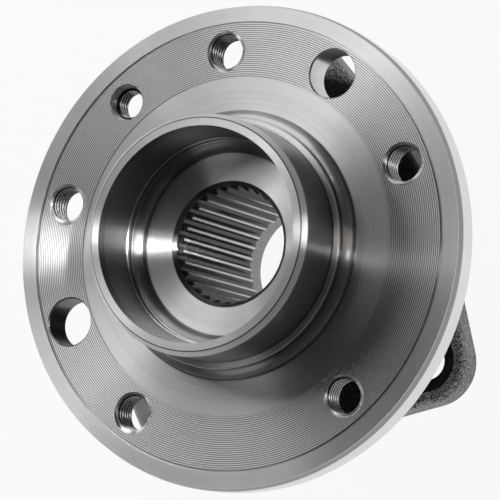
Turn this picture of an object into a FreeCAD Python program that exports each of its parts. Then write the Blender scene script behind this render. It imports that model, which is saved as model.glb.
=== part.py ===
"""Driven wheel hub bearing: a flanged hub turning in a bolted outer ring on two rows of balls.

Millimetres. +Z runs along the hub axis towards the wheel, and z = 0 is the face that the brake disc
and wheel are bolted to. Depths are measured from that face towards the car, so a depth is a negative z.
"""
import FreeCAD
import Part
import Sketcher
import math
import os
import re

# Driving dimensions: name, value and what it measures. Lengths in millimetres, angles in degrees.
SIZES = [
    ("flange_thickness", 10.0, "seat face to the back of the flange"),
    ("flange_edge_step", 0.8, "how far the flange's front and back edges are turned in"),
    ("flange_edge_height", 3.0, "height of the tapered front edge of the flange"),
    ("seat_outer_margin", 0.3, "seat left outside the access holes"),
    ("seat_inner_margin", 0.2, "seat left inside the access holes"),
    ("seat_groove_width", 0.8, "width of the groove around the seat"),
    ("seat_groove_depth", 0.5, "depth of that groove"),
    ("flange_rim_width", 5.5, "rim of the flange outside that groove"),
    ("seat_relief", 0.2, "how far the face inside the seat is turned back"),
    ("bolt_circle_radius", 60.0, "radius of the circle that every hole of the flange lies on"),
    ("bolt_count", 5, "wheel bolt holes"),
    ("wheel_bolt_diameter", 12.0, "outer diameter of the wheel bolt thread"),
    ("wheel_bolt_mouth", 13.0, "diameter of the chamfer at each wheel bolt hole"),
    ("wheel_bolt_mouth_angle", 120, "angle of that chamfer, from side to side"),
    ("disc_screw_diameter", 10.0, "outer diameter of the disc screw thread"),
    ("disc_screw_recess", 11.6, "diameter of the recess over the disc screw hole"),
    ("disc_screw_recess_depth", 2.8, "depth of that recess"),
    ("access_hole_diameter", 14.8, "holes that a key goes through to reach the knuckle screws"),
    ("access_hole_mouth", 15.6, "diameter of the chamfer at each of them"),
    ("access_hole_mouth_angle", 90, "angle of that chamfer, from side to side"),
    ("hole_step_angle", 36.0, "angle between neighbouring places on the bolt circle"),
    ("brake_pilot_step", 2.05, "how much wider than the wheel pilot the brake pilot is"),
    ("brake_pilot_height", 5.5, "top of the brake pilot above the seat"),
    ("brake_pilot_fillet", 3.1, "fillet between the face and the brake pilot"),
    ("brake_pilot_chamfer", 0.3, "chamfer at the top of the brake pilot"),
    ("wheel_pilot_radius", 36.25, "radius that centres the wheel"),
    ("wheel_pilot_height", 24.6, "rim of the collar above the seat"),
    ("pilot_lead_height", 1.8, "height of the lead-in chamfer of the wheel pilot"),
    ("pilot_lead_width", 1.45, "width of that chamfer"),
    ("undercut_step", 0.35, "depth of the undercut below the wheel pilot"),
    ("undercut_height", 3.9, "height of that undercut"),
    ("undercut_notch", 0.4, "depth of the notch at its foot"),
    ("collar_wall", 3.85, "wheel pilot to the inside of the collar's rim"),
    ("pocket_lead_height", 3.0, "height of the chamfer inside the rim"),
    ("pocket_lead_width", 0.4, "width of that chamfer"),
    ("pocket_taper", 0.5, "how much the pocket narrows down to its step"),
    ("pocket_step_height", 8.7, "height of the small step in the pocket wall"),
    ("pocket_step", 0.3, "width of that step"),
    ("pocket_step_fall", 0.2, "height of that step's slope"),
    ("pocket_corner_radius", 3.4, "fillet between the pocket wall and its floor"),
    ("pocket_floor_height", 2.6, "pocket floor beside its fillet, above the seat"),
    ("pocket_floor_fall", 0.4, "how much lower the floor is at the bore"),
    ("bore_mouth_width", 1.3, "width of the chamfer at the mouth of the splined bore"),
    ("bore_mouth_edge", 0.05, "how far outside the spaces of the spline that chamfer ends"),
    ("spline_teeth", 30, "teeth of the spline"),
    ("spline_root_radius", 17.95, "radius of the spaces between the teeth"),
    ("spline_tooth_height", 0.95, "height of the teeth"),
    ("spline_lead", 2.4, "length of the chamfer on the teeth at each end"),
    ("spline_root_width", 1.15, "width of a space at its bottom"),
    ("spline_mouth_width", 2.65, "width of a space at the tips of the teeth"),
    ("spline_cut_reach", 0.5, "how far into the bore the outline of a space reaches"),
    ("shaft_bore_step", 0.65, "how much wider than the spline the plain bore behind it is"),
    ("shaft_bore_length", 9.2, "length of the plain bore, to the end of the hub"),
    ("shaft_bore_lead", 0.8, "chamfer at its mouth"),
    ("ring_gap", 3.2, "gap between the flange and the outer ring"),
    ("root_gap", 0.1, "gap between the fillet behind the flange and the slinger"),
    ("ball_radius", 6.35, "radius of each ball"),
    ("ball_count", 14, "balls in each row"),
    ("pitch_radius", 34.0, "radius of the circle through the ball centres"),
    ("row_spacing", 19.0, "distance between the planes of the two rows"),
    ("race_clearance", 0.08, "gap between a ball and each raceway"),
    ("race_lip_offset", 1.5, "how far each raceway runs past the ball's middle plane"),
    ("land_clearance", 0.1, "gap between a ball and the cylinder beside its raceway"),
    ("inner_shoulder_drop", 2.8, "inner shoulders below the pitch circle"),
    ("outer_land_rise", 3.25, "middle land of the outer ring above the pitch circle"),
    ("inner_ring_wall", 3.55, "wall of the inner ring at its small end"),
    ("inner_ring_chamfer", 0.8, "chamfer of the inner ring's bore"),
    ("inner_ring_setback", 1.2, "inner ring's end face inside the outer ring's end"),
    ("head_height", 3.6, "height of the rolled head that holds the inner ring"),
    ("head_setback", 2.7, "rolled head's rim inside the inner ring's shoulder"),
    ("head_round", 2.3, "rounding of the rolled head"),
    ("seal_depth", 4.4, "depth of the wheel-side seal"),
    ("back_seal_depth", 5.0, "depth of the car-side seal"),
    ("seal_ball_gap", 0.85, "gap between a seal and the balls"),
    ("seal_seat_step", 1.05, "seal seats above the bore that the balls go in through"),
    ("seal_setback", 0.4, "seal case inside the outer ring's end"),
    ("seal_case_wall", 0.8, "sheet thickness of a seal case"),
    ("slinger_wall", 0.6, "sheet thickness of a slinger"),
    ("slinger_length", 3.4, "length of a slinger's cylinder past its flange"),
    ("slinger_rim_gap", 0.6, "gap between a slinger's rim and the seal case"),
    ("slinger_lift", 0.9, "wheel-side slinger's outer face beyond the outer ring's end"),
    ("lip_space", 3.2, "room between a slinger's cylinder and the seal case for the lips"),
    ("lip_clearance", 0.2, "gap between a lip and the surface it runs on"),
    ("lip_width", 0.9, "width of a lip at its root"),
    ("lip_tip_width", 0.4, "width of a lip at its edge"),
    ("lip_lean", 0.7, "how far a lip leans outwards"),
    ("outer_lip_gap", 0.4, "gap between the outer lip's root and the seal case, past its lean"),
    ("inner_lip_gap", 1.2, "inner lip's root outside the bore of the seal case"),
    ("radial_lip_gap", 0.2, "radial lip's root outside that bore"),
    ("radial_lip_drop", 0.3, "how far the radial lip's edge lies past its root"),
    ("rubber_thickness", 0.9, "rubber on the seal case"),
    ("encoder_thickness", 0.8, "thickness of the magnet ring"),
    ("encoder_margin", 1.8, "magnet ring's inner edge above the inner ring's shoulder"),
    ("encoder_rim", 0.5, "magnet ring's outer edge inside the slinger's rim"),
    ("cage_half_wall", 2.1, "half of the cage's wall"),
    ("cage_clearance", 0.15, "gap between a ball and its pocket"),
    ("cage_web", 1.6, "cage behind the bottom of each pocket"),
    ("cage_prong", 3.6, "how far the prongs reach past the ball centres"),
    ("barrel_wall", 4.5, "outer ring's wall over the wheel-side seal"),
    ("spigot_wall", 3.5, "outer ring's wall over the car-side seal"),
    ("barrel_length", 18.7, "outer ring from its wheel-side end to the knuckle flange"),
    ("ring_chamfer", 1.0, "chamfer at both ends of the outer ring"),
    ("knuckle_plate_thickness", 10.5, "thickness of the knuckle flange"),
    ("knuckle_plate_overlap", 1.0, "how far that flange runs into the wall of the outer ring"),
    ("knuckle_body_radius", 54.3, "radius of the knuckle flange between the front lugs"),
    ("lug_tip_radius", 13.4, "radius of each lug tip"),
    ("front_lug_angle", 60.2, "angle from +X to the lugs of the wide pair"),
    ("rear_lug_angle", 148.0, "angle from +X to the lugs of the narrow pair"),
    ("rear_lug_reach", 2.3, "how far the tips of the narrow pair lie outside their holes"),
    ("knuckle_hole_diameter", 11.5, "knuckle screw holes"),
    ("spotface_diameter", 19.4, "spot face under each screw head"),
    ("spotface_depth", 2.4, "depth of the spot face"),
    ("knuckle_edge_round", 1.8, "rounding of the knuckle flange's front edge"),
    ("knuckle_back_round", 1.5, "rounding of its back edge"),
    ("barrel_fillet", 3.0, "fillet between the barrel and the knuckle flange"),
    ("hub_rest_turn", -5.4, "angle that the hub stands at, at rest"),
]
NAMES = {name for name, value, meaning in SIZES}

# Two lengths closer than this are the same.
TOUCHING = 0.001

# The way that an arc of an outline bulges, seen along the outline.
LEFT = 1
RIGHT = -1

# Depths and radii that follow from the driving dimensions, as formulas of their names.
# The knuckle screws' holes lie on the bolt circle too, so that a key reaches them through the flange.
SEAT_OUTER = "(bolt_circle_radius + access_hole_mouth / 2 + seat_outer_margin)"
SEAT_INNER = "(bolt_circle_radius - access_hole_mouth / 2 - seat_inner_margin)"
FLANGE = f"({SEAT_OUTER} + seat_groove_width + flange_rim_width)"
BRAKE_PILOT = "(wheel_pilot_radius + brake_pilot_step)"
SPLINE_CREST = "(spline_root_radius - spline_tooth_height)"
FRONT = "(flange_thickness + ring_gap)"
ROW_OUT = f"({FRONT} + seal_depth + seal_ball_gap + ball_radius)"
ROW_IN = f"({ROW_OUT} + row_spacing)"
BACK = f"({ROW_IN} + ball_radius + seal_ball_gap + back_seal_depth)"
RING_JOINT = f"(({ROW_OUT} + {ROW_IN}) / 2)"
INNER_END = f"({BACK} - inner_ring_setback)"
HUB_END = f"({INNER_END} + head_height)"
SPLINE_END = f"({HUB_END} - shaft_bore_length)"
PLATE_FRONT = f"({FRONT} + barrel_length)"
PLATE_BACK = f"({PLATE_FRONT} + knuckle_plate_thickness)"
RACE = "(ball_radius + race_clearance)"
LAND = "(pitch_radius - ball_radius - land_clearance)"
SHOULDER = "(pitch_radius - inner_shoulder_drop)"
SPINDLE = f"({LAND} - inner_ring_wall)"
OUTER_LAND = "(pitch_radius + outer_land_rise)"
OPEN_BORE = "(pitch_radius + ball_radius + land_clearance)"
SEAL_SEAT = f"({OPEN_BORE} + seal_seat_step)"
BARREL = f"({SEAL_SEAT} + barrel_wall)"
SPIGOT = f"({SEAL_SEAT} + spigot_wall)"
CASE_INNER = f"({SEAL_SEAT} - seal_case_wall)"
SLINGER = f"({SHOULDER} + slinger_wall)"
CASE_BORE = f"({SLINGER} + lip_space)"
SLINGER_RIM = f"({CASE_INNER} - slinger_rim_gap)"
SHAFT_BORE = "(spline_root_radius + shaft_bore_step)"
COLLAR_BORE = "(wheel_pilot_radius - collar_wall)"
HEAD = f"({SHOULDER} - head_setback)"

document = FreeCAD.newDocument("wheel_hub_bearing")
sheet = document.addObject("Spreadsheet::Sheet", "sizes")
for row, (name, value, meaning) in enumerate(SIZES, 1):
    sheet.set(f"A{row}", name)
    sheet.set(f"B{row}", str(value))
    sheet.setAlias(f"B{row}", name)
    sheet.set(f"C{row}", meaning)
document.recompute()

sub_parts = []


def bound(formula):
    """The formula with every driving dimension written as a cell of the sheet."""
    return re.sub(r"[a-z_]+", lambda word: "sizes." + word[0] if word[0] in NAMES else word[0], str(formula))


def number(formula):
    """The formula's value now, in millimetres or degrees."""
    return float(sheet.evalExpression(bound(formula)))


def below(depth):
    """The height of a depth."""
    return f"-({depth})"


def new_body(name):
    """An empty body that becomes one sub-part."""
    body = document.addObject("PartDesign::Body", name)
    body.Label = name
    sub_parts.append(body)
    return body


def origin_feature(body, role):
    """A plane or axis of the body's own origin."""
    return next(item for item in body.Origin.OriginFeatures if item.Role == role)


def new_sketch(body, name, role="XZ_Plane", height=None):
    """A sketch on one of the body's origin planes, raised by a height if one is given."""
    sketch = body.newObject("Sketcher::SketchObject", name)
    sketch.AttachmentSupport = [(origin_feature(body, role), "")]
    sketch.MapMode = "FlatFace"
    if height is not None:
        sketch.setExpression("AttachmentOffset.Base.z", bound(height))
    return sketch


def tie(sketch, kind, formula, *points):
    """A constraint whose value follows a formula of the sheet."""
    index = sketch.addConstraint(Sketcher.Constraint(kind, *points, number(formula)))
    sketch.setExpression(f"Constraints[{index}]", bound(formula))


def tie_point(sketch, geometry, end, across, up):
    """A point of the sketch held at two distances from its origin."""
    tie(sketch, "DistanceX", across, -1, 1, geometry, end)
    tie(sketch, "DistanceY", up, -1, 1, geometry, end)


def arc_between(start, end, radius, way):
    """The short arc from start to end that bulges LEFT or RIGHT."""
    chord = end - start
    half = chord.Length / 2
    rise = radius - math.sqrt(max(radius * radius - half * half, 0))
    left = FreeCAD.Vector(-chord.y, chord.x, 0).normalize()
    middle = (start + end) / 2 + left * rise * way
    return Part.Arc(start, middle, end)


def draw_outline(sketch, corners):
    """A closed outline through corners (across, up), or (across, up, radius, way) where an arc starts."""
    points = [FreeCAD.Vector(number(corner[0]), number(corner[1]), 0) for corner in corners]
    for index, corner in enumerate(corners):
        start = points[index]
        end = points[(index + 1) % len(points)]
        if len(corner) == 4:
            sketch.addGeometry(arc_between(start, end, number(corner[2]), corner[3]))
        else:
            sketch.addGeometry(Part.LineSegment(start, end))
    count = len(corners)
    for index, corner in enumerate(corners):
        first, last = arc_ends(sketch, index)
        following = (index + 1) % count
        next_first, next_last = arc_ends(sketch, following)
        sketch.addConstraint(Sketcher.Constraint("Coincident", index, last, following, next_first))
        tie_point(sketch, index, first, corner[0], corner[1])
        if len(corner) == 4:
            tie(sketch, "Radius", corner[2], index)


def arc_ends(sketch, index):
    """Which end of the geometry is its first and which its last, because an arc may be stored reversed."""
    geometry = sketch.Geometry[index]
    if isinstance(geometry, Part.ArcOfCircle) and geometry.Circle.Axis.z < 0:
        return 2, 1
    return 1, 2


def revolve(body, name, corners):
    """A ring with the given section, turned about the hub axis."""
    sketch = new_sketch(body, name + "_profile")
    draw_outline(sketch, corners)
    feature = body.newObject("PartDesign::Revolution", name)
    feature.Profile = sketch
    feature.ReferenceAxis = (sketch, ["V_Axis"])
    feature.Angle = 360
    document.recompute()
    return feature


def raceway(body, name, depth):
    """A round groove about the hub axis that a row of balls runs in."""
    sketch = new_sketch(body, name + "_circle")
    center = FreeCAD.Vector(number("pitch_radius"), number(below(depth)), 0)
    sketch.addGeometry(Part.Circle(center, FreeCAD.Vector(0, 0, 1), number(RACE)))
    tie_point(sketch, 0, 3, "pitch_radius", below(depth))
    tie(sketch, "Radius", RACE, 0)
    feature = body.newObject("PartDesign::Groove", name)
    feature.Profile = sketch
    feature.ReferenceAxis = (sketch, ["V_Axis"])
    feature.Angle = 360
    document.recompute()
    return feature


def polar_pattern(body, name, feature, count):
    """Copies of a feature, evenly round the hub axis."""
    pattern = body.newObject("PartDesign::PolarPattern", name)
    pattern.Originals = [feature]
    pattern.Axis = (origin_feature(body, "Z_Axis"), [""])
    pattern.Angle = 360
    pattern.setExpression("Occurrences", bound(count))
    body.Tip = pattern
    document.recompute()
    return pattern


def round_holes(body, name, places, diameter, height="0", cut=None):
    """Holes straight down from a height at places (radius, angle).

    cut is the mouth of each: ("Counterbore", diameter, depth) or ("Countersink", diameter, angle).
    """
    sketch = new_sketch(body, name + "_places", "XY_Plane", height)
    for index, (radius, angle) in enumerate(places):
        across = f"{radius} * cos({angle})"
        up = f"{radius} * sin({angle})"
        center = FreeCAD.Vector(number(across), number(up), 0)
        sketch.addGeometry(Part.Circle(center, FreeCAD.Vector(0, 0, 1), number(diameter) / 2))
        tie(sketch, "Diameter", diameter, index)
        for kind, formula in (("DistanceX", across), ("DistanceY", up)):
            if abs(number(formula)) > TOUCHING:
                tie(sketch, kind, formula, -1, 1, index, 3)
            else:
                axis = -2 if kind == "DistanceX" else -1
                sketch.addConstraint(Sketcher.Constraint("PointOnObject", index, 3, axis))
    document.recompute()
    hole = body.newObject("PartDesign::Hole", name)
    hole.Profile = sketch
    document.recompute()
    hole.DepthType = "ThroughAll"
    hole.setExpression("Diameter", bound(diameter))
    if cut:
        hole.HoleCutType = cut[0]
        hole.setExpression("HoleCutDiameter", bound(cut[1]))
        if cut[0] == "Counterbore":
            hole.setExpression("HoleCutDepth", bound(cut[2]))
        else:
            hole.setExpression("HoleCutCountersinkAngle", bound(cut[2]))
    document.recompute()
    return hole


def soften(body, name, kind, feature, test, formula):
    """A fillet or chamfer on every edge of the feature that passes the test."""
    edges = [f"Edge{index}" for index, edge in enumerate(feature.Shape.Edges, 1) if test(edge)]
    softened = body.newObject("PartDesign::" + kind, name)
    softened.Base = (feature, edges)
    softened.setExpression("Radius" if kind == "Fillet" else "Size", bound(formula))
    document.recompute()
    return softened


def lies_at(edge, height):
    """Whether the whole edge lies at one height."""
    box = edge.BoundBox
    return abs(box.ZMin - height) < TOUCHING and abs(box.ZMax - height) < TOUCHING


def reach(edge):
    """How far from the hub axis the edge's nearest end is."""
    return min(math.hypot(vertex.X, vertex.Y) for vertex in edge.Vertexes)


def hub_spindle():
    """The forged hub: flange, pilots, pocket, splined bore, wheel-side raceway and rolled head."""
    body = new_body("hub_spindle")
    root = f"({FRONT} - slinger_lift - flange_thickness - root_gap)"
    foot = f"({BRAKE_PILOT} + brake_pilot_fillet)"
    groove = f"({SEAT_OUTER} + seat_groove_width)"
    edge = f"({FLANGE} - flange_edge_step)"
    lead = "(wheel_pilot_radius - pilot_lead_width)"
    undercut = "(wheel_pilot_radius - undercut_step)"
    notch = "(brake_pilot_height - undercut_notch)"
    wall = f"({COLLAR_BORE} - pocket_lead_width)"
    step = f"({wall} - pocket_taper)"
    low_wall = f"({step} - pocket_step)"
    mouth = "(spline_root_radius + bore_mouth_width)"
    floor = "(pocket_floor_height - pocket_floor_fall)"
    revolve(body, "hub_blank", [
        (lead, "wheel_pilot_height"),
        (COLLAR_BORE, "wheel_pilot_height"),
        (wall, "wheel_pilot_height - pocket_lead_height"),
        (step, "pocket_step_height"),
        (low_wall, "pocket_step_height - pocket_step_fall"),
        (low_wall, "pocket_floor_height + pocket_corner_radius", "pocket_corner_radius", RIGHT),
        (f"{low_wall} - pocket_corner_radius", "pocket_floor_height"),
        (mouth, floor),
        ("spline_root_radius + bore_mouth_edge", f"{floor} - bore_mouth_width + bore_mouth_edge"),
        (SPLINE_CREST, f"{floor} - bore_mouth_width - spline_lead"),
        (SPLINE_CREST, below(f"{SPLINE_END} - spline_lead / 2")),
        (SHAFT_BORE, below(SPLINE_END)),
        (SHAFT_BORE, below(f"{HUB_END} - shaft_bore_lead")),
        (f"{SHAFT_BORE} + shaft_bore_lead", below(HUB_END)),
        (f"{HEAD} - head_round", below(HUB_END), "head_round", LEFT),
        (HEAD, below(f"{HUB_END} - head_round")),
        (HEAD, below(INNER_END)),
        (SPINDLE, below(INNER_END)),
        (SPINDLE, below(RING_JOINT)),
        (LAND, below(RING_JOINT)),
        (LAND, below(f"{ROW_OUT} + race_lip_offset")),
        (SHOULDER, below(f"{ROW_OUT} + race_lip_offset")),
        (SHOULDER, below(f"flange_thickness + {root}"), root, RIGHT),
        (f"{SHOULDER} + {root}", below("flange_thickness")),
        (edge, below("flange_thickness")),
        (FLANGE, below("flange_thickness - flange_edge_step")),
        (FLANGE, below("flange_edge_height")),
        (edge, "0"),
        (groove, "0"),
        (groove, below("seat_groove_depth")),
        (SEAT_OUTER, below("seat_groove_depth")),
        (SEAT_OUTER, "0"),
        (SEAT_INNER, "0"),
        (SEAT_INNER, below("seat_relief")),
        (foot, below("seat_relief"), "brake_pilot_fillet", RIGHT),
        (BRAKE_PILOT, "brake_pilot_fillet - seat_relief"),
        (BRAKE_PILOT, "brake_pilot_height - brake_pilot_chamfer"),
        (f"{BRAKE_PILOT} - brake_pilot_chamfer", "brake_pilot_height"),
        ("wheel_pilot_radius + undercut_notch", "brake_pilot_height"),
        ("wheel_pilot_radius + undercut_notch", notch),
        ("wheel_pilot_radius", notch),
        (undercut, "brake_pilot_height + undercut_height"),
        ("wheel_pilot_radius", "brake_pilot_height + undercut_height + undercut_step"),
        ("wheel_pilot_radius", "wheel_pilot_height - pilot_lead_height"),
    ])
    raceway(body, "hub_raceway", ROW_OUT)
    spline_spaces(body)
    bolt = round_holes(body, "wheel_bolt_hole", [("bolt_circle_radius", "0")],
                       "wheel_bolt_diameter",
                       cut=("Countersink", "wheel_bolt_mouth", "wheel_bolt_mouth_angle"))
    polar_pattern(body, "wheel_bolt_holes", bolt, "bolt_count")
    round_holes(body, "disc_screw_hole", [("bolt_circle_radius", "3 * hole_step_angle")],
                "disc_screw_diameter", cut=("Counterbore", "disc_screw_recess", "disc_screw_recess_depth"))
    access = [("bolt_circle_radius", "1 * hole_step_angle"), ("bolt_circle_radius", "5 * hole_step_angle")]
    round_holes(body, "access_holes", access, "access_hole_diameter",
                cut=("Countersink", "access_hole_mouth", "access_hole_mouth_angle"))
    body.setExpression("Placement.Rotation.Angle", bound("hub_rest_turn"))


def spline_spaces(body):
    """The tapered spaces between the teeth, cut from the bore and repeated round it."""
    sketch = new_sketch(body, "spline_space_section", "XY_Plane", "pocket_floor_height")
    inner = f"({SPLINE_CREST} - spline_cut_reach)"
    draw_outline(sketch, [
        (inner, "-spline_mouth_width / 2"),
        (SPLINE_CREST, "-spline_mouth_width / 2"),
        ("spline_root_radius", "-spline_root_width / 2"),
        ("spline_root_radius", "spline_root_width / 2"),
        (SPLINE_CREST, "spline_mouth_width / 2"),
        (inner, "spline_mouth_width / 2"),
    ])
    space = body.newObject("PartDesign::Pocket", "spline_space")
    space.Profile = sketch
    space.setExpression("Length", bound(f"pocket_floor_height + {SPLINE_END} + shaft_bore_step"))
    document.recompute()
    polar_pattern(body, "spline_spaces", space, "spline_teeth")


def inner_ring():
    """The hardened ring pressed on the spindle, with the car-side raceway."""
    body = new_body("inner_ring")
    revolve(body, "inner_ring_blank", [
        (f"{SPINDLE} + inner_ring_chamfer", below(RING_JOINT)),
        (LAND, below(RING_JOINT)),
        (LAND, below(f"{ROW_IN} - race_lip_offset")),
        (SHOULDER, below(f"{ROW_IN} - race_lip_offset")),
        (SHOULDER, below(INNER_END)),
        (f"{SPINDLE} + inner_ring_chamfer", below(INNER_END)),
        (SPINDLE, below(f"{INNER_END} - inner_ring_chamfer")),
        (SPINDLE, below(f"{RING_JOINT} + inner_ring_chamfer")),
    ])
    raceway(body, "inner_ring_raceway", ROW_IN)


def outer_ring():
    """The fixed ring with both outer raceways and the flange that is bolted to the knuckle."""
    body = new_body("outer_ring")
    revolve(body, "outer_ring_blank", [
        (SEAL_SEAT, below(FRONT)),
        (SEAL_SEAT, below(f"{FRONT} + seal_depth")),
        (OPEN_BORE, below(f"{FRONT} + seal_depth")),
        (OPEN_BORE, below(f"{ROW_OUT} - race_lip_offset")),
        (OUTER_LAND, below(f"{ROW_OUT} - race_lip_offset")),
        (OUTER_LAND, below(f"{ROW_IN} + race_lip_offset")),
        (OPEN_BORE, below(f"{ROW_IN} + race_lip_offset")),
        (OPEN_BORE, below(f"{BACK} - back_seal_depth")),
        (SEAL_SEAT, below(f"{BACK} - back_seal_depth")),
        (SEAL_SEAT, below(BACK)),
        (f"{SPIGOT} - ring_chamfer", below(BACK)),
        (SPIGOT, below(f"{BACK} - ring_chamfer")),
        (SPIGOT, below(PLATE_BACK)),
        (BARREL, below(PLATE_BACK)),
        (BARREL, below(f"{FRONT} + ring_chamfer")),
        (f"{BARREL} - ring_chamfer", below(FRONT)),
    ])
    raceway(body, "outboard_outer_raceway", ROW_OUT)
    raceway(body, "inboard_outer_raceway", ROW_IN)
    plate = knuckle_plate(body)
    front = -number(PLATE_FRONT)
    back = -number(PLATE_BACK)
    barrel = number(BARREL)
    rounded = soften(body, "knuckle_front_round", "Fillet", plate,
                     lambda edge: lies_at(edge, front) and reach(edge) > barrel + TOUCHING,
                     "knuckle_edge_round")
    rounded = soften(body, "knuckle_back_round", "Fillet", rounded,
                     lambda edge: lies_at(edge, back) and reach(edge) > barrel + TOUCHING,
                     "knuckle_back_round")
    soften(body, "barrel_fillet", "Fillet", rounded,
           lambda edge: lies_at(edge, front) and abs(reach(edge) - barrel) < TOUCHING,
           "barrel_fillet")
    angles = ["front_lug_angle", "rear_lug_angle", "-rear_lug_angle", "-front_lug_angle"]
    places = [("bolt_circle_radius", angle) for angle in angles]
    round_holes(body, "knuckle_holes", places, "knuckle_hole_diameter", below(PLATE_FRONT),
                ("Counterbore", "spotface_diameter", "spotface_depth"))


def knuckle_plate(body):
    """The knuckle flange: four lug tips joined by tangent sides, with an arc between the front pair."""
    sketch = new_sketch(body, "knuckle_outline", "XY_Plane", below(PLATE_FRONT))
    turn = number("front_lug_angle")
    angles = ["front_lug_angle", "rear_lug_angle", "-rear_lug_angle", "-front_lug_angle"]
    rear_reach = "(bolt_circle_radius + rear_lug_reach)"
    reaches = ["bolt_circle_radius", rear_reach, rear_reach, "bolt_circle_radius"]
    centers = [(f"{far} * cos({angle})", f"{far} * sin({angle})") for far, angle in zip(reaches, angles)]
    places = [FreeCAD.Vector(number(across), number(up), 0) for across, up in centers]
    tip = number("lug_tip_radius")
    body_radius = number("knuckle_body_radius")
    inside = f"({SPIGOT} - knuckle_plate_overlap)"
    lean = math.degrees(math.acos((body_radius - tip) / number("bolt_circle_radius")))
    # The way that each side of the plate faces: up the front arc, then side by side round to it again.
    facing = [turn - lean]
    for here, there in zip(places, places[1:]):
        along = there - here
        facing.append(math.degrees(math.atan2(along.y, along.x)) - 90)
    facing.append(lean - turn)
    facing = [facing[0]] + [angle % 360 for angle in facing[1:-1]] + [facing[-1] + 360]
    normals = [FreeCAD.Vector(math.cos(math.radians(angle)), math.sin(math.radians(angle)), 0)
               for angle in facing]
    zero = FreeCAD.Vector(0, 0, 0)
    up_axis = FreeCAD.Vector(0, 0, 1)
    arcs = []
    for index, place in enumerate(places):
        first = math.radians(facing[index])
        last = math.radians(facing[index + 1])
        arcs.append(Part.ArcOfCircle(Part.Circle(place, up_axis, tip), first, last))
    body_arc = Part.ArcOfCircle(Part.Circle(zero, up_axis, body_radius),
                                math.radians(facing[-1] - 360), math.radians(facing[0]))
    sides = [Part.LineSegment(normals[0] * body_radius, places[0] + normals[0] * tip)]
    for index in range(3):
        normal = normals[index + 1] * tip
        sides.append(Part.LineSegment(places[index] + normal, places[index + 1] + normal))
    sides.append(Part.LineSegment(places[3] + normals[4] * tip, normals[4] * body_radius))
    for index in range(4):
        sketch.addGeometry(sides[index])
        sketch.addGeometry(arcs[index])
    sketch.addGeometry(sides[4])
    sketch.addGeometry(body_arc)
    for index in range(4):
        tie_point(sketch, 2 * index + 1, 3, *centers[index])
        tie(sketch, "Radius", "lug_tip_radius", 2 * index + 1)
    sketch.addConstraint(Sketcher.Constraint("Coincident", 9, 3, -1, 1))
    tie(sketch, "Radius", "knuckle_body_radius", 9)
    for index in range(10):
        sketch.addConstraint(Sketcher.Constraint("Tangent", index, 2, (index + 1) % 10, 1))
    sketch.addGeometry(Part.Circle(zero, up_axis, number(inside)))
    sketch.addConstraint(Sketcher.Constraint("Coincident", 10, 3, -1, 1))
    tie(sketch, "Radius", inside, 10)
    plate = body.newObject("PartDesign::Pad", "knuckle_plate")
    plate.Profile = sketch
    plate.Reversed = True
    plate.setExpression("Length", bound("knuckle_plate_thickness"))
    document.recompute()
    return plate


def ball_row(side, depth):
    """One row of balls, each a sub-part of its own."""
    for index in range(int(number("ball_count"))):
        ball = document.addObject("Part::Sphere", f"{side}_ball_{index + 1:02d}")
        ball.Label = ball.Name
        angle = f"{index} * 360 / ball_count"
        ball.setExpression("Radius", bound("ball_radius"))
        ball.setExpression("Placement.Base.x", bound(f"pitch_radius * cos({angle})"))
        ball.setExpression("Placement.Base.y", bound(f"pitch_radius * sin({angle})"))
        ball.setExpression("Placement.Base.z", bound(below(depth)))
        sub_parts.append(ball)
    document.recompute()


def ball_cage(side, depth, outwards):
    """A snap cage: a ring beside the balls whose prongs close round each ball. outwards is 1 or -1 in z."""
    body = new_body(f"{side}_cage")
    prongs = f"-({depth}) + ({outwards} * cage_prong)"
    ring = f"-({depth}) - ({outwards} * (ball_radius + cage_clearance + cage_web))"
    inner = "pitch_radius - cage_half_wall"
    outer = "pitch_radius + cage_half_wall"
    revolve(body, f"{side}_cage_ring", [(inner, ring), (outer, ring), (outer, prongs), (inner, prongs)])
    sketch = new_sketch(body, f"{side}_pocket_section")
    radius = "(ball_radius + cage_clearance)"
    center = FreeCAD.Vector(number("pitch_radius"), number(below(depth)), 0)
    rise = FreeCAD.Vector(0, number(radius), 0)
    across = FreeCAD.Vector(number(radius), 0, 0)
    sketch.addGeometry(Part.Arc(center - rise, center + across, center + rise))
    sketch.addGeometry(Part.LineSegment(center + rise, center - rise))
    sketch.addConstraint(Sketcher.Constraint("Coincident", 0, 2, 1, 1))
    sketch.addConstraint(Sketcher.Constraint("Coincident", 0, 1, 1, 2))
    sketch.addConstraint(Sketcher.Constraint("Vertical", 1))
    sketch.addConstraint(Sketcher.Constraint("PointOnObject", 0, 3, 1))
    tie_point(sketch, 0, 3, "pitch_radius", below(depth))
    tie(sketch, "Radius", radius, 0)
    pocket = body.newObject("PartDesign::Groove", f"{side}_pocket")
    pocket.Profile = sketch
    pocket.ReferenceAxis = (sketch, ["Edge2"])
    pocket.Angle = 360
    document.recompute()
    polar_pattern(body, f"{side}_pockets", pocket, "ball_count")


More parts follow.
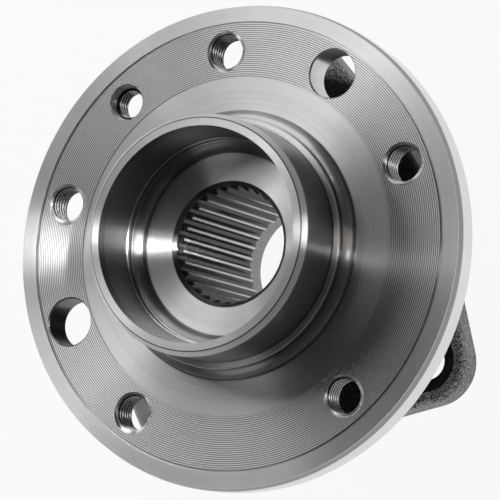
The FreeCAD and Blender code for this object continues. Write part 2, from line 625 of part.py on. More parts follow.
def seal(side, end, inwards, depth, slinger):
    """One cassette seal. end is the outer ring's end, inwards is -1 or 1 in z, slinger its face's depth."""
    def place(inset):
        return f"-({end}) + ({inwards} * ({inset}))"

    case_front = f"({depth} - seal_case_wall)"
    rubber_front = f"({case_front} - rubber_thickness)"
    lip_end = f"({slinger} + lip_clearance)"
    case = new_body(f"{side}_seal_case")
    revolve(case, f"{side}_seal_case_ring", [
        (SEAL_SEAT, place("seal_setback")),
        (SEAL_SEAT, place(depth)),
        (CASE_BORE, place(depth)),
        (CASE_BORE, place(case_front)),
        (CASE_INNER, place(case_front)),
        (CASE_INNER, place("seal_setback")),
    ])
    outer_lip = f"({CASE_INNER} - lip_lean - lip_width - outer_lip_gap)"
    inner_lip = f"({CASE_BORE} + inner_lip_gap)"
    wrap = f"({CASE_BORE} - rubber_thickness)"
    lip_edge = f"({SLINGER} + lip_clearance)"
    lips = new_body(f"{side}_seal_lips")
    corners = [
        (wrap, place(depth)),
        (CASE_BORE, place(depth)),
        (CASE_BORE, place(case_front)),
        (CASE_INNER, place(case_front)),
        (CASE_INNER, place(rubber_front)),
    ]
    for root in (outer_lip, inner_lip):
        corners += [
            (f"{root} + lip_width", place(rubber_front)),
            (f"{root} + lip_lean + lip_tip_width", place(lip_end)),
            (f"{root} + lip_lean", place(lip_end)),
            (root, place(rubber_front)),
        ]
    corners += [
        (f"{CASE_BORE} + radial_lip_gap", place(rubber_front)),
        (lip_edge, place(f"{rubber_front} + radial_lip_drop")),
        (lip_edge, place(f"{rubber_front} + radial_lip_drop + lip_tip_width")),
    ]
    revolve(lips, f"{side}_seal_lips_ring", corners)
    thrower = new_body(f"{side}_slinger")
    revolve(thrower, f"{side}_slinger_ring", [
        (SHOULDER, place(f"{slinger} - slinger_wall")),
        (SLINGER_RIM, place(f"{slinger} - slinger_wall")),
        (SLINGER_RIM, place(slinger)),
        (SLINGER, place(slinger)),
        (SLINGER, place(f"{slinger} + slinger_length")),
        (SHOULDER, place(f"{slinger} + slinger_length")),
    ])


def encoder_ring():
    """The magnet ring on the car-side slinger that the wheel speed sensor reads."""
    body = new_body("encoder_ring")
    inner = f"({SHOULDER} + encoder_margin)"
    outer = f"({SLINGER_RIM} - encoder_rim)"
    face = below(INNER_END)
    back = below(f"{INNER_END} + encoder_thickness")
    revolve(body, "encoder_band", [(inner, face), (outer, face), (outer, back), (inner, back)])


def check_model():
    """Stop if any object failed or any sub-part isn't a valid solid."""
    for item in document.Objects:
        if "Invalid" in item.State or "Error" in item.State:
            raise RuntimeError(f"{item.Label} failed: {item.State}")
    for part in sub_parts:
        if part.Shape.isNull() or not part.Shape.isValid() or len(part.Shape.Solids) != 1:
            raise RuntimeError(f"{part.Label} is not one valid solid")


outer_ring()
hub_spindle()
inner_ring()
ball_row("outboard", ROW_OUT)
ball_cage("outboard", ROW_OUT, 1)
ball_row("inboard", ROW_IN)
ball_cage("inboard", ROW_IN, -1)
seal("outboard", FRONT, -1, "seal_depth", "(slinger_wall - slinger_lift)")
seal("inboard", BACK, 1, "back_seal_depth", "(inner_ring_setback + slinger_wall)")
encoder_ring()
document.recompute()
check_model()

os.makedirs("parts", exist_ok=True)
for part in sub_parts:
    part.Shape.exportStep(f"parts/{part.Label}.step")
    print(part.Label, round(part.Shape.Volume, 2))
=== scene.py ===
"""Looks of the wheel hub bearing: the finish of every piece, the screw threads, the studio and the camera.

Metres. +Z runs along the hub axis towards the wheel, and z = 0 is the face that the brake disc seats on.
Tones are greys from 0 to 1.
"""
import math

import bmesh
import bpy
from mathutils import Matrix, Vector


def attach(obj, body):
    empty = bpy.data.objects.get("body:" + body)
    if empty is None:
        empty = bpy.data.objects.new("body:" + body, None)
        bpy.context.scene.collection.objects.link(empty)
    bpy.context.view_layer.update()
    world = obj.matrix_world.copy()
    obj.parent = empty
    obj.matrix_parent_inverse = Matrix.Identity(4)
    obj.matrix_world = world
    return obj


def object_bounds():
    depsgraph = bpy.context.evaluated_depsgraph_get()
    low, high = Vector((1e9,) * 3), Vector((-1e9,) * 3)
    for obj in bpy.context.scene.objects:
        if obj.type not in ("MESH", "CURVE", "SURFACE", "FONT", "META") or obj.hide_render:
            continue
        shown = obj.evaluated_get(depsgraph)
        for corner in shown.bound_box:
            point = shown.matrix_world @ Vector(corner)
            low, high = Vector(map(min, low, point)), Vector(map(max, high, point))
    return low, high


MM = 0.001

# Camera, in the photograph's frame of 500 pixels
PHOTO_PIXELS = 500
FOCAL_PIXELS = 2626.75
SENSOR_WIDTH = 36.0
CLIP_RANGE = (0.01, 50)
HUB_TURNS = (-0.1496, -0.4607, 0.3463)
HUB_PLACE = (-0.005544, 0.001542, -0.794316)
PHOTO_TURN = math.radians(5.4)

# Holes of the hub flange
BOLT_CIRCLE = 60.0 * MM
HUB_REST_TURN = math.radians(-5.4)
HOLE_STEP = math.radians(36)
FLANGE_BACK = -10.0 * MM
BOLT_HOLES = range(0, 10, 2)
BOLT_RADIUS = 6.0 * MM
BOLT_THREAD_TOP = -0.29 * MM
SCREW_HOLE = 3
SCREW_RADIUS = 5.0 * MM
SCREW_THREAD_TOP = -2.8 * MM
# The access hole whose wall gets painted shade
SHADED_ACCESS_HOLE = 5
ACCESS_RADIUS = 7.4 * MM
ACCESS_TOP = -0.4 * MM

# Thread ridges; the depth and the half widths at the foot and the top are shares of the pitch
THREAD_PITCH = 1.5 * MM
RIDGE_DEPTH = 0.54
RIDGE_FOOT = 0.44
RIDGE_TOP = 0.07
RIDGE_BEHIND = 0.04 * MM
THREAD_SEGMENTS = 72
THREAD_SHARP = math.radians(25)
CHAMFER_SLOPE = math.tan(math.radians(30))

# The range that most of a noise falls in
NOISE_SPAN = (0.3, 0.7)

# Finish of the hub, outwards from its axis
SKIN = 0.1 * MM
SPLINE_TEETH = 30
SPLINE_CREST = 17.0 * MM
SPLINE_ROOT = 17.95 * MM
TOOTH_TURN = math.radians(0.6)
BORE_REACH = 19.3 * MM
BORE_TOP = 1.2 * MM
COLLAR_FOOT = 0.4 * MM
COLLAR_RIM = 34.8 * MM
RIM_HEIGHT = 23.5 * MM
SEAT_INNER = 52.0 * MM
SEAT_OUTER = 68.1 * MM
SEAT_PITCH = 0.64 * MM
FLANGE_EDGE = 74.4 * MM

# Painted shade on the fillets, at the collar's foot and in the pocket, as (inner and outer reach, lowest,
# highest, share)
FILLETS = [
    (38.2 * MM, 41.5 * MM, -0.15 * MM, 2.9 * MM, 0.42),
    (27.4 * MM, 31.0 * MM, 2.6 * MM, 6.0 * MM, 0.75),
]

# Finish of the outer ring
KNUCKLE_HOLE_ANGLES = (60.2, 148, -148, -60.2)
SPOT_FACE_REACH = 9.72 * MM
BACK_FACE = -42.35 * MM
FRONT_FACE = -14.3 * MM
BORES_REACH = 41.8 * MM
LUG_FRONT = -32.0 * MM
# Reach inside which the ring's skin gets painted shade, under the hub flange
FLANGE_SHADE_REACH = (58 * MM, 62 * MM)
# Across the rear lugs, where their faces get painted light
LIT_PATCH_ACROSS = (-62 * MM, -53 * MM)

# Studio: the azimuth and tilt that the flange's face mirrors to the camera, in degrees, and the lamp panels
# as (name, turn, away, length, width, brightness)
MIRRORED = (142.6, 27.66)
ROOM_LIGHT = 0.035
PANEL_DISTANCE = 1.2
PANELS = [
    ("top_panel", 268, 34, 0.95, 0.66, 1.9),
    ("upper_panel", 328, 36, 0.95, 0.45, 1.2),
    ("left_strip", 358, 38, 1.15, 0.06, 3.6),
    ("left_panel", 30, 34, 1.0, 0.34, 1.7),
    ("bottom_panel", 105, 30, 0.6, 0.3, 0.6),
    ("right_strip", 188, 72, 0.5, 0.06, 6.0),
    ("right_panel", 208, 15, 0.3, 0.2, 0.6),
]

# One narrow lamp for the streak in the pocket: as above with its distance after away, how wide its light
# spreads, and how far from the hub axis it is aimed
ACCENT = ("accent", 195, 70, 0.9, 0.06, 0.02, 1.7)
ACCENT_SPREAD = math.radians(3.2)
ACCENT_REACH = 25 * MM
FLOOR_SIZE = 12
FLOOR_GLOW = 0.93

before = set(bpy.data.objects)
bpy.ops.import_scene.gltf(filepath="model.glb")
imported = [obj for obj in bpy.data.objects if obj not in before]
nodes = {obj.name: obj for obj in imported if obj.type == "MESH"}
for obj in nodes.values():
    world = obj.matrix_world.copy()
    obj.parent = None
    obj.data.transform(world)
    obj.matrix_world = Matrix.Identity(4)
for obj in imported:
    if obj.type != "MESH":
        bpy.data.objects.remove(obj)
cad_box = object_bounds()


class Finish:
    """One node material, built step by step."""

    def __init__(self, name):
        self.material = bpy.data.materials.new(name)
        self.material.use_nodes = True
        self.tree = self.material.node_tree
        self.tree.nodes.clear()
        self.place = self.put("TexCoord").outputs["Object"]

    def put(self, kind, values=None, **settings):
        """A node with its settings and inputs; an input is a number, a colour or another node's output."""
        made = self.tree.nodes.new("ShaderNode" + kind)
        for name, value in settings.items():
            setattr(made, name, value)
        for key, value in (values or {}).items():
            if isinstance(value, bpy.types.NodeSocket):
                self.tree.links.new(value, made.inputs[key])
            else:
                made.inputs[key].default_value = value
        return made

    def math(self, operation, first, second=0.0):
        """One operation on two numbers."""
        return self.put("Math", {0: first, 1: second}, operation=operation).outputs[0]

    def times(self, first, *others):
        """The product of numbers; a product of masks holds where all of them do."""
        for other in others:
            first = self.math("MULTIPLY", first, other)
        return first

    def above(self, value, limit):
        """1 where the value is above the limit."""
        return self.math("GREATER_THAN", value, limit)

    def below(self, value, limit):
        """1 where the value is below the limit."""
        return self.math("LESS_THAN", value, limit)

    def no(self, mask):
        """1 where the mask is 0."""
        return self.math("SUBTRACT", 1.0, mask)

    def spread(self, value, low, high, start=0.0, end=1.0, smooth=False):
        """The value from low to high, stretched to start to end and held there."""
        kind = "SMOOTHSTEP" if smooth else "LINEAR"
        inputs = {"Value": value, "From Min": low, "From Max": high, "To Min": start, "To Max": end}
        return self.put("MapRange", inputs, interpolation_type=kind).outputs["Result"]

    def noise(self, vector, size, detail=2.0, roughness=0.5):
        """Cloudy noise whose patches are about size wide."""
        inputs = {"Vector": vector, "Scale": 1 / size, "Detail": detail, "Roughness": roughness}
        return self.put("TexNoise", inputs).outputs[0]

    def blend(self, share, first, second):
        """A colour between two colours."""
        return self.put("Mix", {0: share, 6: first, 7: second}, data_type="RGBA").outputs[2]

    def tint(self, tone, mask, share, level, warmth=0.0):
        """The tone, taken this share of the way to a grey where the mask holds."""
        return self.blend(self.times(mask, share), tone, grey(level, warmth))

    def bump(self, height, depth, normal=None):
        """The surface's normal, tilted by a height from 0 to 1 that is depth deep."""
        inputs = {"Height": height, "Distance": depth, "Strength": 1.0}
        if normal is not None:
            inputs["Normal"] = normal
        return self.put("Bump", inputs).outputs["Normal"]

    def split(self, vector):
        """The three numbers of a vector."""
        return self.put("SeparateXYZ", {0: vector}).outputs

    def reach_from(self, center=(0, 0, 0)):
        """Distance from the line along Z through a centre, which is the hub axis or that of a hole."""
        away = self.put("VectorMath", {0: self.place, 1: center}, operation="SUBTRACT").outputs[0]
        flat = self.put("VectorMath", {0: away, 1: (1, 1, 0)}, operation="MULTIPLY").outputs[0]
        return self.put("VectorMath", {0: flat}, operation="LENGTH").outputs["Value"]

    def reach_and_height(self):
        """Distance from the hub axis, and height over the disc seat."""
        return self.reach_from(), self.split(self.place)[2]

    def angle(self):
        """Angle round the hub axis in radians."""
        across, up = self.split(self.place)[:2]
        return self.math("ARCTAN2", up, across)

    def lathe_place(self, reach, height):
        """A place that is the same all round the hub axis, so that noise becomes turning marks."""
        return self.put("CombineXYZ", {0: reach, 1: height, 2: 0.0}).outputs[0]

    def marks_run(self):
        """The direction of the turning marks, round the hub axis."""
        across, up = self.split(self.place)[:2]
        turned = self.put("CombineXYZ", {0: self.math("MULTIPLY", up, -1.0), 1: across, 2: 0.0}).outputs[0]
        turned = self.put("VectorMath", {0: turned}, operation="NORMALIZE").outputs[0]
        moved = self.put("VectorTransform", {0: turned}, vector_type="VECTOR", convert_from="OBJECT",
                         convert_to="WORLD")
        return moved.outputs[0]

    def surface(self, **inputs):
        """The closing shader with its inputs, written as words with _ for a space."""
        values = {name.replace("_", " "): value for name, value in inputs.items()}
        return self.close(self.put("BsdfPrincipled", values))

    def close(self, shader):
        """The material, with this shader at its end."""
        output = self.put("OutputMaterial")
        self.tree.links.new(shader.outputs[0], output.inputs["Surface"])
        return self.material


def grey(level, warmth=0.0):
    """A grey colour; warmth above 0 makes it slightly yellow."""
    return level * (1 + warmth), level, level * (1 - warmth), 1.0


def circle_place(turn):
    """A place on the bolt circle, on the seat face."""
    return Vector((BOLT_CIRCLE * math.cos(turn), BOLT_CIRCLE * math.sin(turn), 0))


def hole_place(index):
    """The centre of one of the ten places for holes on the hub's bolt circle."""
    return circle_place(HUB_REST_TURN + index * HOLE_STEP)


def bore_tones(finish, tone, reach, height):
    """The tone with the splined bore's tones in it, the mask of the bore, and its broaching marks. The tones
    are painted shade in the spaces between the teeth, on the chamfer of the mouth and on the bore wider than
    the roots.
    """
    angle = finish.angle()
    near_bore = finish.below(reach, BORE_REACH)
    bore = finish.times(near_bore, finish.below(height, BORE_TOP))
    along = finish.put("CombineXYZ", {0: finish.times(angle, 18 * MM), 1: reach,
                                      2: finish.times(height, 0.08)}).outputs[0]
    broach = finish.noise(along, 0.5 * MM, 3.0, 0.65)
    grain = finish.noise(finish.place, 0.5 * MM, 2.0)
    tone = finish.tint(tone, finish.times(bore, finish.spread(broach, 0.35, 0.65)), 0.4, 0.25)
    # Painted shade in the spaces between the spline's teeth
    before_root = finish.spread(reach, SPLINE_ROOT + 0.05 * MM, SPLINE_ROOT + 0.3 * MM, 1.0, 0.0)
    off_top = finish.spread(reach, SPLINE_CREST + 0.02 * MM, SPLINE_CREST + 0.16 * MM)
    tooth = finish.math("COSINE", finish.times(finish.math("SUBTRACT", angle, TOOTH_TURN), SPLINE_TEETH))
    beside = finish.spread(tooth, 0.82, 0.93, 0.75, 0.0)
    space = finish.times(before_root, finish.math("MAXIMUM", off_top, beside), bore)
    tone = finish.tint(tone, space, 0.9, 0.04)
    # Painted shade on the chamfer at the mouth of the bore
    mouth = finish.times(near_bore, finish.spread(height, BORE_TOP - SKIN, BORE_TOP))
    tone = finish.tint(tone, mouth, 0.9, 0.05)
    # Painted shade on the bore where it is wider than the spline's roots
    behind = finish.times(finish.no(before_root), bore)
    tone = finish.tint(tone, behind, 0.75, 0.14)
    return tone, bore, finish.times(finish.math("ADD", broach, grain), bore)


def collar_tones(finish, tone, reach, height):
    """The tone with painted shade on the collar's walls, its fillets and its rim's corner in it, and the
    mask of the walls.
    """
    facing = finish.split(finish.put("TexCoord").outputs["Normal"])[2]
    upright = finish.spread(finish.math("ABSOLUTE", facing), 0.25, 0.75, 1.0, 0.0, smooth=True)
    walls = finish.times(upright, finish.above(height, COLLAR_FOOT))
    outer_side = finish.above(reach, COLLAR_RIM - 0.5 * MM)
    # Painted shade on the collar's walls
    tone = finish.tint(tone, walls, finish.spread(outer_side, 0.0, 1.0, 0.6, 0.72), 0.06)
    # Painted shade along the corner of the collar's rim
    off_corner = finish.math("ABSOLUTE", finish.math("SUBTRACT", reach, COLLAR_RIM))
    corner = finish.times(finish.spread(off_corner, 0.12 * MM, 0.24 * MM, 1.0, 0.0),
                          finish.above(height, RIM_HEIGHT))
    tone = finish.tint(tone, corner, 0.9, 0.04)
    # Painted shade on the fillets
    for inner, outer, lowest, highest, share in FILLETS:
        fillet = finish.times(finish.above(reach, inner), finish.below(reach, outer),
                              finish.above(height, lowest), finish.below(height, highest))
        tone = finish.tint(tone, fillet, share, 0.1)
    return tone, walls


def turned_steel():
    """Bright turned steel: marks round the axis, the finely grooved disc seat and the broached spline, with
    painted shade in hollows, on walls and beside the flange's edge, and a painted highlight on that edge.
    """
    finish = Finish("turned_steel")
    reach, height = finish.reach_and_height()
    marks = finish.noise(finish.lathe_place(reach, height), 1.6 * MM, 4.0, 0.7)
    smears = finish.noise(finish.place, 9 * MM, 4.0, 0.6)
    tone = finish.blend(finish.spread(marks, *NOISE_SPAN), grey(0.72, 0.004), grey(0.84, 0.004))
    tone = finish.tint(tone, finish.spread(smears, 0.35, 0.75), 0.3, 0.62, 0.01)

    on_face = finish.below(finish.math("ABSOLUTE", height), SKIN)
    seat = finish.times(finish.above(reach, SEAT_INNER), finish.below(reach, SEAT_OUTER), on_face)
    wave = finish.math("SINE", finish.times(reach, 2 * math.pi / SEAT_PITCH))
    grooves_and_shade = finish.times(finish.spread(wave, -0.3, 0.9, smooth=True), seat)
    tone = finish.tint(tone, seat, 0.6, 0.98)
    # Painted shade in the seat's fine turning lines, which are also a bump below
    tone = finish.tint(tone, grooves_and_shade, 0.85, 0.12)
    tone, bore, broached = bore_tones(finish, tone, reach, height)

    # Painted highlight on the flange's outer edge
    edge = finish.above(reach, FLANGE_EDGE - 0.15 * MM)
    tone = finish.tint(tone, edge, 0.6, 1.0)
    # Painted shade on the wall of one access hole
    access_hole_shade = finish.times(finish.below(finish.reach_from(hole_place(SHADED_ACCESS_HOLE)), ACCESS_RADIUS + SKIN),
                        finish.below(height, ACCESS_TOP))
    tone = finish.tint(tone, access_hole_shade, 0.85, 0.06)
    tone, walls = collar_tones(finish, tone, reach, height)
    # Painted shade on the bevel beside the flange's edge
    bevel = finish.times(finish.spread(reach, FLANGE_EDGE - 0.8 * MM, FLANGE_EDGE - 0.7 * MM),
                         finish.no(edge))
    tone = finish.tint(tone, bevel, 0.6, 0.08)

    normal = finish.bump(marks, 0.006 * MM)
    normal = finish.bump(grooves_and_shade, 0.03 * MM, normal)
    normal = finish.bump(broached, 0.02 * MM, normal)
    shine = finish.spread(marks, *NOISE_SPAN, 0.27, 0.31)
    for mask, rougher in ((seat, 0.05), (bore, -0.03), (walls, -0.06)):
        shine = finish.math("ADD", shine, finish.times(mask, rougher))
    return finish.surface(Base_Color=tone, Metallic=1.0, Roughness=shine, Anisotropic=1.0,
                          Anisotropic_Rotation=0.25, Tangent=finish.marks_run(), Normal=normal)


def cut_steel(name, major):
    """Steel cut by a tap of this radius: bright ridges, with painted shade between them deeper than the
    first millimetre.
    """
    finish = Finish(name)
    reach, height = finish.reach_and_height()
    speckle = finish.noise(finish.place, 0.6 * MM, 3.0, 0.6)
    # Painted shade in the thread's roots; the ridges and the top millimetre stay bright
    ridge = finish.spread(reach, major - 0.64 * MM, major - 0.52 * MM, 1.0, 0.0)
    bright = finish.math("MAXIMUM", ridge, finish.spread(height, -1.0 * MM, -0.85 * MM))
    tone = finish.blend(finish.spread(speckle, *NOISE_SPAN), grey(0.88), grey(0.96))
    tone = finish.blend(bright, grey(0.03), tone)
    return finish.surface(Base_Color=tone, Metallic=1.0, Normal=finish.bump(speckle, 0.001 * MM),
                          Roughness=finish.spread(speckle, *NOISE_SPAN, 0.26, 0.32))


def forged_steel():
    """Dark forged and blasted steel, with the seats, bores and spot faces machined; painted shade under the
    hub flange, on the lug sides and on the spot faces, and painted light on the rear lugs' faces.
    """
    finish = Finish("forged_steel")
    reach, height = finish.reach_and_height()
    spot = 0.0
    for hole_angle in KNUCKLE_HOLE_ANGLES:
        hole_reach = finish.reach_from(circle_place(math.radians(hole_angle)))
        spot = finish.math("MAXIMUM", spot, finish.below(hole_reach, SPOT_FACE_REACH))
    ends = finish.math("MAXIMUM", finish.below(height, BACK_FACE), finish.above(height, FRONT_FACE))
    turned = finish.math("MAXIMUM", ends, finish.below(reach, BORES_REACH))
    machined = finish.math("MAXIMUM", turned, spot)

    blasted = finish.noise(finish.place, 0.5 * MM, 3.0, 0.8)
    pits = finish.put("TexVoronoi", {"Vector": finish.place, "Scale": 1 / (0.9 * MM)}).outputs["Distance"]
    scale_skin = finish.noise(finish.place, 5 * MM, 4.0, 0.6)
    skin = finish.blend(finish.spread(blasted, 0.44, 0.56), grey(0.005, 0.01), grey(0.92, 0.01))
    # Painted shade on the sides of the lugs, below their front faces
    side = finish.spread(height, LUG_FRONT - 1.2 * MM, LUG_FRONT, 1.0, 0.0)
    skin = finish.tint(skin, side, 0.6, 0.06, 0.01)
    skin = finish.tint(skin, finish.spread(scale_skin, 0.4, 0.7), 0.4, 0.08, 0.02)
    # Painted shade on the ring's skin under the hub flange
    skin = finish.tint(skin, finish.spread(reach, *FLANGE_SHADE_REACH, 1.0, 0.0), 0.95, 0.010, 0.01)

    marks = finish.noise(finish.lathe_place(reach, height), 0.5 * MM, 3.0)
    bright = finish.blend(finish.spread(marks, *NOISE_SPAN), grey(0.42), grey(0.56))
    # Near-black tones for the painted shade on the spot faces
    dark = finish.blend(finish.spread(marks, *NOISE_SPAN), grey(0.02), grey(0.06))
    tone = finish.blend(turned, skin, bright)
    across = finish.split(finish.place)[0]
    # Painted light on the front faces of the rear lugs
    lit_patch = finish.times(finish.spread(across, *LIT_PATCH_ACROSS, 1.0, 0.0, smooth=True),
                          finish.spread(height, LUG_FRONT - 0.6 * MM, LUG_FRONT), finish.no(spot))
    tone = finish.tint(tone, lit_patch, 0.75, 0.6, 0.01)
    # Painted shade on the spot faces round the knuckle holes
    tone = finish.blend(spot, tone, dark)

    rough = finish.times(finish.math("ADD", blasted, finish.times(pits, 0.5)), finish.no(machined))
    normal = finish.bump(rough, 0.5 * MM)
    normal = finish.bump(finish.times(marks, machined), 0.01 * MM, normal)
    return finish.surface(Base_Color=tone, Metallic=1.0, Normal=normal,
                          Roughness=finish.spread(machined, 0.0, 1.0, 0.45, 0.30))


def ground_steel(name, level, roughness):
    """Ground or polished bearing steel."""
    finish = Finish(name)
    marks = finish.noise(finish.lathe_place(*finish.reach_and_height()), 0.3 * MM, 3.0)
    smears = finish.noise(finish.place, 5 * MM, 3.0)
    tone = finish.blend(finish.spread(smears, *NOISE_SPAN), grey(level), grey(level * 1.12))
    return finish.surface(Base_Color=tone, Metallic=1.0, Normal=finish.bump(marks, 0.001 * MM),
                          Roughness=finish.spread(marks, *NOISE_SPAN, roughness, roughness * 1.6))


def sheet_steel():
    """Pressed sheet steel with fine drawing marks."""
    finish = Finish("sheet_steel")
    marks = finish.noise(finish.lathe_place(*finish.reach_and_height()), 0.35 * MM, 3.0)
    stains = finish.noise(finish.place, 4 * MM, 4.0, 0.6)
    tone = finish.blend(finish.spread(stains, 0.35, 0.7), grey(0.50, 0.02), grey(0.38, 0.04))
    return finish.surface(Base_Color=tone, Metallic=1.0, Normal=finish.bump(marks, 0.004 * MM),
                          Roughness=finish.spread(stains, *NOISE_SPAN, 0.3, 0.42))


def moulded(name, dark, light, roughness, grain):
    """Moulded rubber or plastic with a fine grain."""
    finish = Finish(name)
    specks = finish.noise(finish.place, grain, 3.0, 0.6)
    cloud = finish.noise(finish.place, 8 * MM, 3.0)
    tone = finish.blend(finish.spread(finish.math("ADD", specks, cloud), 0.7, 1.3), dark, light)
    return finish.surface(Base_Color=tone, Normal=finish.bump(specks, 0.02 * MM),
                          Roughness=finish.spread(cloud, *NOISE_SPAN, roughness, roughness + 0.12))


def thread(name, center, major, top, bottom):
    """The ridges of an inner screw thread, standing inwards from the wall of its hole.

    top is where the wall begins; above it the ridges are cut off by the cone of the chamfer.
    """
    depth = RIDGE_DEPTH * THREAD_PITCH
    foot = RIDGE_FOOT * THREAD_PITCH
    ridge_top = RIDGE_TOP * THREAD_PITCH
    lean = (foot - ridge_top) / depth
    start = top + foot
    steps = int((start - bottom - foot) / THREAD_PITCH * THREAD_SEGMENTS)
    fade = THREAD_SEGMENTS / 3
    wall = major + RIDGE_BEHIND
    mesh = bmesh.new()
    rings = []
    for step in range(steps + 1):
        turn = 2 * math.pi * step / THREAD_SEGMENTS
        sunk = THREAD_PITCH * step / THREAD_SEGMENTS
        inner = major - min(depth * min(1.0, (steps - step) / fade), sunk / (lean + CHAMFER_SLOPE))
        profile = [(wall, foot), (major, foot), (inner, ridge_top), (inner, -ridge_top), (major, -foot),
                   (wall, -foot)]
        ring = []
        for reach, rise in profile:
            height = min(start - sunk + rise, top - (major - reach) * CHAMFER_SLOPE)
            ring.append(mesh.verts.new((reach * math.cos(turn), reach * math.sin(turn), height)))
        rings.append(ring)
    for ring, following in zip(rings, rings[1:]):
        for index in range(len(ring)):
            after = (index + 1) % len(ring)
            mesh.faces.new((ring[index], ring[after], following[after], following[index]))
    mesh.faces.new(rings[0])
    mesh.faces.new(list(reversed(rings[-1])))
    bmesh.ops.remove_doubles(mesh, verts=mesh.verts, dist=0.0005 * MM)
    bmesh.ops.recalc_face_normals(mesh, faces=mesh.faces)
    data = bpy.data.meshes.new(name)
    mesh.to_mesh(data)
    mesh.free()
    data.shade_smooth()
    data.set_sharp_from_angle(angle=THREAD_SHARP)
    piece = bpy.data.objects.new(name, data)
    piece.location = center
    bpy.context.scene.collection.objects.link(piece)
    return piece


def wear(piece, material):
    """Every face of the piece gets the material."""
    piece.data.materials.clear()
    piece.data.materials.append(material)


def dress_nodes():
    """A finish for every CAD node."""
    sheet = sheet_steel()
    ball_steel = ground_steel("ball_steel", 0.62, 0.06)
    cage = moulded("cage_plastic", (0.20, 0.15, 0.07, 1), (0.34, 0.27, 0.15, 1), 0.42, 0.4 * MM)
    rubber = moulded("seal_rubber", grey(0.012), grey(0.030), 0.46, 0.25 * MM)
    magnet = moulded("magnet_rubber", (0.035, 0.028, 0.024, 1), (0.060, 0.048, 0.040, 1), 0.40, 0.3 * MM)
    whole = {"hub_spindle": turned_steel(), "outer_ring": forged_steel(), "encoder_ring": magnet,
             "inner_ring": ground_steel("ground_steel", 0.56, 0.16)}
    endings = {"case": sheet, "slinger": sheet, "lips": rubber, "cage": cage}
    for name, node in nodes.items():
        ending = name.rsplit("_", 1)[1]
        wear(node, whole.get(name) or endings.get(ending) or ball_steel)


def cut_threads():
    """Threads of the wheel bolt holes and of the disc screw hole."""
    bolt_steel = cut_steel("bolt_thread_steel", BOLT_RADIUS)
    screw_steel = cut_steel("screw_thread_steel", SCREW_RADIUS)
    threads = [(f"wheel_bolt_thread_{number}", index, BOLT_RADIUS, BOLT_THREAD_TOP, bolt_steel)
               for number, index in enumerate(BOLT_HOLES, 1)]
    threads.append(("disc_screw_thread", SCREW_HOLE, SCREW_RADIUS, SCREW_THREAD_TOP, screw_steel))
    for name, index, radius, top, steel in threads:
        piece = thread(name, hole_place(index), radius, top, FLANGE_BACK)
        wear(piece, steel)
        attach(piece, "hub")


def make_floor():
    """A plain pale floor that the unit stands on, which still takes its shadow."""
    bpy.ops.mesh.primitive_plane_add(size=FLOOR_SIZE, location=(0, 0, cad_box[0].z))
    floor = bpy.context.object
    floor.name = "floor"
    finish = Finish("pale_floor")
    speckle = finish.noise(finish.place, 0.4, 3.0)
    paper = finish.put("BsdfDiffuse", {"Color": finish.blend(speckle, grey(0.88), grey(0.92))})
    glow = finish.put("Emission", {"Color": grey(1.0), "Strength": 1.0})
    path = finish.put("LightPath")
    seen = finish.math("MAXIMUM", path.outputs["Is Camera Ray"], path.outputs["Is Glossy Ray"])
    seen = finish.math("MAXIMUM", seen, path.outputs["Is Transmission Ray"])
    share = finish.times(seen, FLOOR_GLOW)
    wear(floor, finish.close(finish.put("MixShader", {0: share, 1: paper.outputs[0], 2: glow.outputs[0]})))


def toward(azimuth, tilt):
    """The direction at an azimuth round the hub axis and a tilt away from it, in degrees."""
    turn = math.radians(azimuth)
    lean = math.radians(tilt)
    return Vector((math.sin(lean) * math.cos(turn), math.sin(lean) * math.sin(turn), math.cos(lean)))


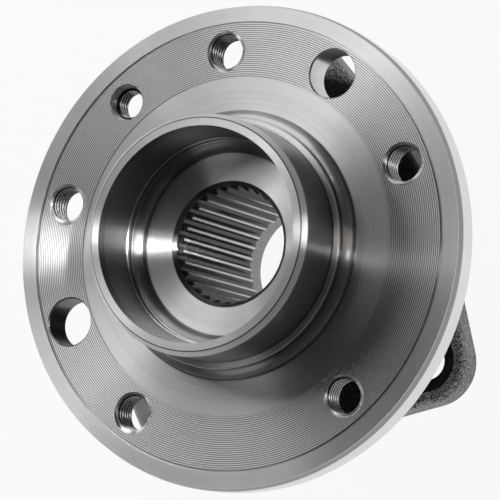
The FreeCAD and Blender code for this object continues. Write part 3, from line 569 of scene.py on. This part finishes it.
def softbox(name, turn, away, distance, length, width, brightness):
    """A lamp panel that the flange's face shows to the camera as a streak.

    away is the angle between the panel and the direction that the face mirrors to the camera, and turn is
    the way that it lies from there: 0 is the left of the picture, 90 the bottom and 270 the top. length runs
    along that way and width across it. brightness is how bright the panel itself looks.
    """
    mirrored = toward(*MIRRORED)
    left = (mirrored * mirrored.z - Vector((0, 0, 1))).normalized()
    down = mirrored.cross(left)
    side = left * math.cos(math.radians(turn)) + down * math.sin(math.radians(turn))
    lean = math.radians(away)
    direction = mirrored * math.cos(lean) + side * math.sin(lean)
    along = side * math.cos(lean) - mirrored * math.sin(lean)
    lamp = bpy.data.lights.new(name, "AREA")
    lamp.shape = "RECTANGLE"
    lamp.size = length
    lamp.size_y = width
    lamp.energy = brightness * math.pi * length * width
    holder = bpy.data.objects.new(name, lamp)
    bpy.context.scene.collection.objects.link(holder)
    axes = Matrix((along, direction.cross(along), direction)).transposed().to_4x4()
    holder.matrix_world = Matrix.Translation(direction * distance) @ axes
    return holder


def make_studio():
    """A dim room, the lamp panels and the narrow lamp."""
    world = bpy.data.worlds.new("studio")
    bpy.context.scene.world = world
    world.use_nodes = True
    tree = world.node_tree
    tree.nodes.clear()
    background = tree.nodes.new("ShaderNodeBackground")
    background.inputs["Color"].default_value = grey(1.0)
    background.inputs["Strength"].default_value = ROOM_LIGHT
    output = tree.nodes.new("ShaderNodeOutputWorld")
    tree.links.new(background.outputs[0], output.inputs["Surface"])
    for name, turn, away, length, width, brightness in PANELS:
        softbox(name, turn, away, PANEL_DISTANCE, length, width, brightness)
    accent = softbox(*ACCENT)
    accent.data.spread = ACCENT_SPREAD
    accent.location += toward(MIRRORED[0], 90) * ACCENT_REACH


def make_camera():
    """The camera of the photograph."""
    data = bpy.data.cameras.new("camera")
    data.sensor_width = SENSOR_WIDTH
    data.lens = FOCAL_PIXELS * SENSOR_WIDTH / PHOTO_PIXELS
    data.clip_start, data.clip_end = CLIP_RANGE
    camera = bpy.data.objects.new("camera", data)
    bpy.context.scene.collection.objects.link(camera)
    turn_x, turn_y, turn_z = HUB_TURNS
    turned = (Matrix.Rotation(turn_x, 3, "X") @ Matrix.Rotation(turn_y, 3, "Y")
              @ Matrix.Rotation(turn_z + PHOTO_TURN, 3, "Z"))
    hub_in_view = Matrix.Translation(HUB_PLACE) @ turned.to_4x4()
    camera.matrix_world = hub_in_view.inverted()
    bpy.context.scene.camera = camera


dress_nodes()
cut_threads()
make_floor()
make_studio()
make_camera()
bpy.context.scene.view_settings.view_transform = "Standard"

bpy.context.view_layer.update()
